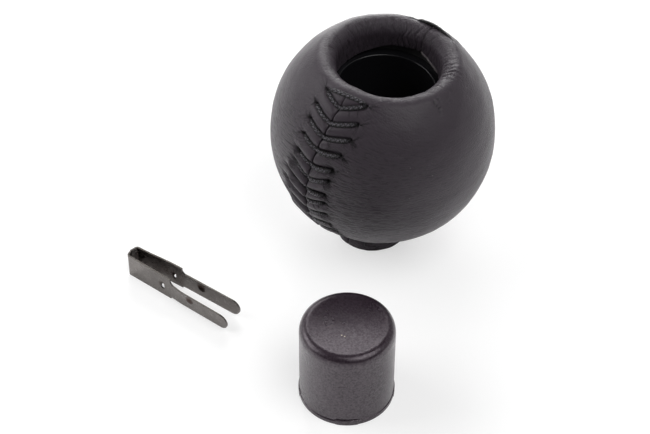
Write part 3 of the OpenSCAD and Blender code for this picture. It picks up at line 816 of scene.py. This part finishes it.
sleeve_corners = np.array([[SLEEVE_R, SLEEVE_TOP], [FLANGE_R, SLEEVE_TOP], [FLANGE_R, SLEEVE_TOP - FLANGE_T],
                           [SLEEVE_R + SLEEVE_WALL, SLEEVE_TOP - FLANGE_T],
                           [SLEEVE_R + SLEEVE_WALL, FLOOR_Z - FLOOR_T],
                           [LEVER_R + 2.4, FLOOR_Z - FLOOR_T], [LEVER_R + 2.4, FLOOR_Z], [SLEEVE_R, FLOOR_Z]])
sleeve_radii = [0.20, 0.15, 0.15, 0.15, 0.15, 0.10, 0.10, 0.15]
outline, rim_edge = rounded(sleeve_corners[::-1], sleeve_radii[::-1])
gloss_insert = gloss_material()
sleeve = lathe("insert_sleeve", outline, BALL_AXIS, 240, 1.0, {"rim": rim_edge})
tube_corners = np.array([[LEVER_R, 0.0], [TUBE_R, 0.0], [TUBE_R, FLOOR_Z - 1.2], [LEVER_R, FLOOR_Z - 1.2]])
outline, rim_edge = rounded(tube_corners, [0.15] * 4)
tube = lathe("insert_tube", outline, np.zeros(2), 160, 0.0, {"rim": rim_edge})
for piece in (sleeve, tube):
    piece.data.materials.append(gloss_insert)
    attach(piece, "root")
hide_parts("insert")
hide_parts("insert")


def matt_material():
    """Matt black moulded plastic of the ball, with a fine grain."""
    material, tree, out = new_material("matt_ball")
    grain = noise(tree, node(tree, "TexCoord").outputs["Object"], 3000.0, 3.0)
    tone = blend(tree, grain, (0.010, 0.010, 0.010), (0.018, 0.017, 0.018))
    covered(tree, out, {"Base Color": tone, "Roughness": 0.6, "Normal": bumped(tree, grain, 0.3, 0.00005)})
    return material


matt_ball = matt_material()
ball_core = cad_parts["ball_body"]
if not ball_core.data.materials:
    ball_core.data.materials.append(matt_ball)
for slot_index in range(len(ball_core.data.materials)):
    ball_core.material_slots[slot_index].material = matt_ball

# Push-in cap
# A hollow cap moulded in matt black plastic, with a dished top, a rounded crest, and a bead with four snap
# tabs at its foot. It stands on its foot in front of the ball.
CAP_AT = (-6.3, -49.4)
CAP_R = 10.1
CAP_RIM = 20.5
CREST_R = 3.3
DISH_R = 9.1
DISH = 0.8
RIM_ROUND = 1.2
CAP_WALL = 1.6
BEAD_OUT = 0.1
BEAD_H = 1.0
TAB_OUT = 0.2
TAB_H = 1.4
GROOVE = 0.12
TAB_HALF = np.radians(13.0)
TAB_EASE = np.radians(1.2)
SPECKS = ((-7.5, -51.9, 19.85), (-6.9, -52.2, 19.85))
SPECK_EDGE = (0.00011, 0.00020)


def arc(centre, radius, start, end, count):
    """Points of an arc in the profile's plane, angles in degrees."""
    a = np.radians(np.linspace(start, end, count))
    return np.stack([centre[0] + radius * np.cos(a), centre[1] + radius * np.sin(a)], -1)


def cap_profile():
    """The cap's half section, from the dish's middle over the rounded rim and the crest, down the
    side, round the foot and up the inside to the middle of the roof."""
    crest_x = CAP_R - CREST_R
    crest_z = CAP_RIM - np.sqrt(CREST_R ** 2 - (DISH_R - crest_x) ** 2)
    dish_ball = (DISH_R ** 2 + DISH ** 2) / (2 * DISH)
    half = np.degrees(np.arcsin(DISH_R / dish_ball))
    lean = np.degrees(np.arcsin((DISH_R - crest_x) / CREST_R))
    dish = arc((0, CAP_RIM - DISH + dish_ball), dish_ball, -90, -90 + half * (1 - RIM_ROUND / DISH_R), 26)
    crest = arc((crest_x, crest_z), CREST_R, 90 - lean - np.degrees(RIM_ROUND / CREST_R), 0, 20)
    t = np.linspace(0, 1, 12)[1:-1, None]
    rim = (1 - t) ** 2 * dish[-1] + 2 * t * (1 - t) * np.array([DISH_R, CAP_RIM]) + t ** 2 * crest[0]
    z = np.linspace(crest_z, TAB_H + 0.25, 44)[1:]
    side = np.stack([np.full(43, CAP_R), z], -1)
    bead = np.stack([np.full(34, CAP_R), np.linspace(TAB_H + 0.2, 0.12, 34)], -1)
    foot = np.array([[CAP_R, 0.06], [CAP_R - 0.04, 0.02], [CAP_R - 0.1, 0.0], [CAP_R - 0.8, 0.0],
                     [CAP_R - CAP_WALL + 0.1, 0.0], [CAP_R - CAP_WALL, 0.1]])
    roof = CAP_RIM - DISH - CAP_WALL
    inside = np.array([[CAP_R - CAP_WALL, h] for h in np.linspace(0.4, roof - 0.5, 10)])
    corner = arc((CAP_R - CAP_WALL - 0.5, roof - 0.5), 0.5, 0, 90, 5)
    lid = np.stack([np.linspace(CAP_R - CAP_WALL - 0.8, 0.0, 6), np.full(6, roof)], -1)
    return np.concatenate([dish, rim, crest, side, bead, foot, inside, corner, lid])


def cap_object():
    """The profile carried round the cap's axis. At the foot the radius grows by the bead, with a fine groove
    above it, and by the tabs in four spans 27 degrees wide."""
    profile = cap_profile()
    az = np.linspace(0, 2 * np.pi, 360, endpoint=False)
    r = np.repeat(profile[:, :1], len(az), 1)
    z = np.repeat(profile[:, 1:], len(az), 1)
    outside = (r > CAP_R - 0.3) & (z < TAB_H + 0.3)
    from_tab = np.abs(np.angle(np.exp(4j * az))) / 4
    tab = 1 - smooth((from_tab - TAB_HALF) / TAB_EASE)
    grow = BEAD_OUT * (1 - smooth((z - BEAD_H + 0.1) / 0.12)) + 0 * az
    grow = np.maximum(grow, TAB_OUT * tab[None, :] * (1 - smooth((z - TAB_H + 0.08) / 0.1)))
    groove = GROOVE * bump(z - BEAD_H - 0.10, 0.10) * (1 - tab[None, :])
    groove = groove + 2 * GROOVE * bump(z - TAB_H - 0.06, 0.10) * tab[None, :]
    r = r + np.where(outside, grow - groove, 0)
    x = CAP_AT[0] + r * np.cos(az)
    y = CAP_AT[1] + r * np.sin(az)
    points = np.stack([x, y, z], -1)
    return grid_object("push_in_cap", points, closed_v=True)


def cap_material():
    """Matt moulded plastic with a coarse spark grain, worn unevenly, and two pale dust specks on the dish."""
    material, tree, out = new_material("matt_cap")
    place = node(tree, "TexCoord").outputs["Object"]
    grain = noise(tree, place, 2100.0, 3.0, 0.7)
    cloud = noise(tree, place, 150.0, distortion=0.2)
    tone = blend(tree, cloud, (0.015, 0.0090, 0.0140), (0.024, 0.0150, 0.0225))
    for speck in SPECKS:
        off = node(tree, "VectorMath", {0: place, 1: tuple(np.array(speck) * MM)}, operation="DISTANCE")
        dot = between(tree, off.outputs["Value"], *SPECK_EDGE, 0.8, 0.0)
        tone = blend(tree, dot, tone, (0.42, 0.38, 0.26))
    covered(tree, out, {"Base Color": tone, "Roughness": between(tree, cloud, 0.2, 0.8, 0.25, 0.34),
                        "Specular IOR Level": between(tree, grain, 0.35, 0.65, 0.36, 0.80),
                        "Specular Tint": (1.0, 0.90, 0.97, 1), "Normal": bumped(tree, grain, 0.7, 0.00006)})
    return material


cap = cap_object()
cap.data.materials.append(cap_material())
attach(cap, "root")
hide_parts("button_cap")

# Spring clip
# A U bent from blackened spring-steel strip, 6 mm wide and 0.4 mm thick, stamped with two rounded fingers,
# lanced holes and detent dimples. It lies on its edge to the left, and its fingers lean a little apart.
CLIP_AT = (-55.0, -13.9)
CLIP_TURN = np.radians(-36.0)
LEG_L = 13.2
LEG_TOP = 4.6
HOLE_X, HOLE_Y, HOLE_Z = 10.9, 1.85, 3.0
HOLE_R, HOLE_STRAIGHT = 0.52, 0.45
HOLE_DOWN = (0.25, 0.5)
DIMPLE_X, DIMPLE_Z = 19.6, 2.55
DIMPLE_BACK, DIMPLE_UP = 0.6, 0.7
LEAN_NEAR, SPLAY_FAR, FAR_SHORT = 0.55, 0.42, 0.4
BEND_CUTS = LEG_L + np.array([-11.0, -9.0, -7.0, -5.0, -3.5, -1.0, 0.1, 1.0, 2.0, 3.0, 4.0])
EDGE_ROUND = 0.08
# Spots of dark brown colour, each with a place along the clip, across it and above the table, a radius and a
# strength: painted shade in the dimples and round the holes, a small dark mark on the near leg, and broad
# painted shade inside the U.
SHADE_AND_MARKS = ((DIMPLE_X - 0.5, -2.7, 3.4, 1.2, 0.9), (DIMPLE_X - 1.0, 2.3, 3.5, 1.3, 0.95),
         (HOLE_X - 0.3, -2.0, 3.2, 1.0, 0.9), (HOLE_X - 0.3, 2.2, 3.0, 1.1, 0.9),
         (HOLE_X + 2.0, -2.1, 3.2, 0.1, 0.8),
         (2.0, 4.2, 3.5, 4.0, 0.6), (6.5, 4.3, 3.5, 4.0, 0.6), (11.0, 4.4, 3.5, 4.0, 0.5))


def clip_place(x, y, z):
    """Places in metres of points given along the clip, across it and above the table, in millimetres."""
    c, s = np.cos(CLIP_TURN), np.sin(CLIP_TURN)
    return np.stack([CLIP_AT[0] + x * c - y * s, CLIP_AT[1] + x * s + y * c, z + 0 * x], -1) * MM


def merged_copy(name, cad):
    """A copy of a CAD node with its loose triangles joined, so that its edges can be rounded. Its faces are
    cut across at a few places, so that the far leg can splay out, the near finger can lean out with the
    height, and the dimples can sit where they were pressed."""
    mesh = cad.data.copy()
    work = bmesh.new()
    work.from_mesh(mesh)
    bmesh.ops.remove_doubles(work, verts=work.verts, dist=1e-6)
    bmesh.ops.dissolve_limit(work, angle_limit=0.01, verts=work.verts, edges=work.edges)
    c, s = np.cos(CLIP_TURN), np.sin(CLIP_TURN)
    for x in BEND_CUTS:
        bmesh.ops.bisect_plane(work, geom=work.verts[:] + work.edges[:] + work.faces[:], dist=1e-7,
                               plane_co=clip_place(x, 0.0, 0.0), plane_no=(c, s, 0.0))
    bmesh.ops.recalc_face_normals(work, faces=work.faces)
    work.to_mesh(mesh)
    work.free()
    at = np.zeros(3 * len(mesh.vertices), dtype=np.float32)
    mesh.vertices.foreach_get("co", at)
    at = at.reshape(-1, 3) / MM
    x, y = at[:, 0] - CLIP_AT[0], at[:, 1] - CLIP_AT[1]
    x, y = x * c + y * s, y * c - x * s
    z = at[:, 2]
    far_tip = (y > 0) * smooth((x - LEG_L - 0.8) / 12)
    lean = LEAN_NEAR * (0.3 + 0.7 * z / LEG_TOP) * smooth((x - LEG_L + 1) / 5)
    out = np.where(y < 0, -lean, SPLAY_FAR * smooth((x - 2) / 9)) * (1 - 0.4 * far_tip)
    pressed = (np.abs(x - DIMPLE_X) < 1.6) & (np.abs(z - DIMPLE_Z) < 1.5)
    punched = (np.abs(x - HOLE_X) < 0.7) & (np.abs(z - HOLE_Z) < 1.2)
    up = DIMPLE_UP * pressed - np.where(y < 0, HOLE_DOWN[0], HOLE_DOWN[1]) * punched
    placed = clip_place(x - DIMPLE_BACK * pressed - FAR_SHORT * far_tip, y + out, z + up)
    mesh.vertices.foreach_set("co", placed.reshape(-1))
    mesh.update()
    made = bpy.data.objects.new(name, mesh)
    scene.collection.objects.link(made)
    return made


def burr(name, y, down, least, most, where, width):
    """A torn lip that closes a lanced hole a little all round and most towards one direction (radians)."""
    a = np.linspace(0, 2 * np.pi, 64, endpoint=False)
    off = np.angle(np.exp(1j * (a - where)))
    shrink = 1 - least - (most - least) * bump(off, width) - 0.05 * np.sin(7 * a) - 0.04 * np.sin(13 * a + 1)
    x = HOLE_R * np.cos(a)
    z = HOLE_R * np.sin(a) + HOLE_STRAIGHT * np.sign(np.round(np.sin(a), 6))
    ring = []
    for k, depth in ((1.0, -0.12), (1.0, 0.12), (shrink, 0.10), (shrink, -0.04)):
        ring.append(clip_place(HOLE_X + x * k, y + depth, HOLE_Z - down + z * k) / MM)
    return grid_object(name, np.stack(ring, 1), closed_u=True, closed_v=True)


def steel_material():
    """Blackened spring steel: brown-grey with fine lines along the strip, with dark brown painted shade in
    the dimples and round the holes and a small dark mark, nearly black painted shade inside the U, and
    painted shade on the faces that point up, the top sheared edges."""
    material, tree, out = new_material("blackened_steel")
    place = node(tree, "TexCoord").outputs["Object"]
    rolled = node(tree, "Mapping", {"Vector": place, "Rotation": (0, 0, -CLIP_TURN),
                                    "Scale": (150.0, 900.0, 900.0)})
    streak = noise(tree, rolled.outputs[0], 2.0, 4.0)
    cloud = noise(tree, place, 350.0, 4.0)
    ragged = calc(tree, "MULTIPLY", cloud, 0.0014)
    tone = blend(tree, cloud, (0.082, 0.074, 0.070), (0.16, 0.146, 0.138))
    for x, y, z, size, depth in SHADE_AND_MARKS:
        off = node(tree, "VectorMath", {0: place, 1: tuple(clip_place(x, y, z))}, operation="DISTANCE")
        edge = calc(tree, "ADD", off.outputs["Value"], ragged)
        shade_and_mark = between(tree, edge, size * MM, (size + 0.8) * MM, depth, 0.0)
        tone = blend(tree, shade_and_mark, tone, (0.028, 0.014, 0.010))
    # Painted shade: the faces that point up, the top sheared edges of the strip, are painted near black.
    upward = node(tree, "SeparateXYZ", {0: node(tree, "NewGeometry").outputs["Normal"]}).outputs["Z"]
    tone = blend(tree, between(tree, upward, 0.5, 0.9, 0.0, 0.75), tone, (0.030, 0.026, 0.022))
    rough = between(tree, streak, 0.3, 0.7, 0.24, 0.40)
    covered(tree, out, {"Base Color": tone, "Metallic": 0.85, "Roughness": rough,
                        "Normal": bumped(tree, streak, 0.25, 0.00004)})
    return material


clip = merged_copy("spring_clip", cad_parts["retaining_clip"])
steel = steel_material()
clip.data.materials.clear()
clip.data.materials.append(steel)
rounding = clip.modifiers.new("rounding", "BEVEL")
rounding.width = EDGE_ROUND * MM
rounding.segments = 2
rounding.limit_method = "ANGLE"
rounding.angle_limit = np.radians(35)
near_burr = burr("near_hole_burr", -HOLE_Y, HOLE_DOWN[0], 0.06, 0.50, np.radians(130), 0.9)
far_burr = burr("far_hole_burr", HOLE_Y + SPLAY_FAR, HOLE_DOWN[1], 0.25, 0.90, np.radians(130), 1.3)
for piece in (near_burr, far_burr):
    piece.data.materials.append(steel)
for piece in (clip, near_burr, far_burr):
    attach(piece, "root")
    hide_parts("retaining_clip")
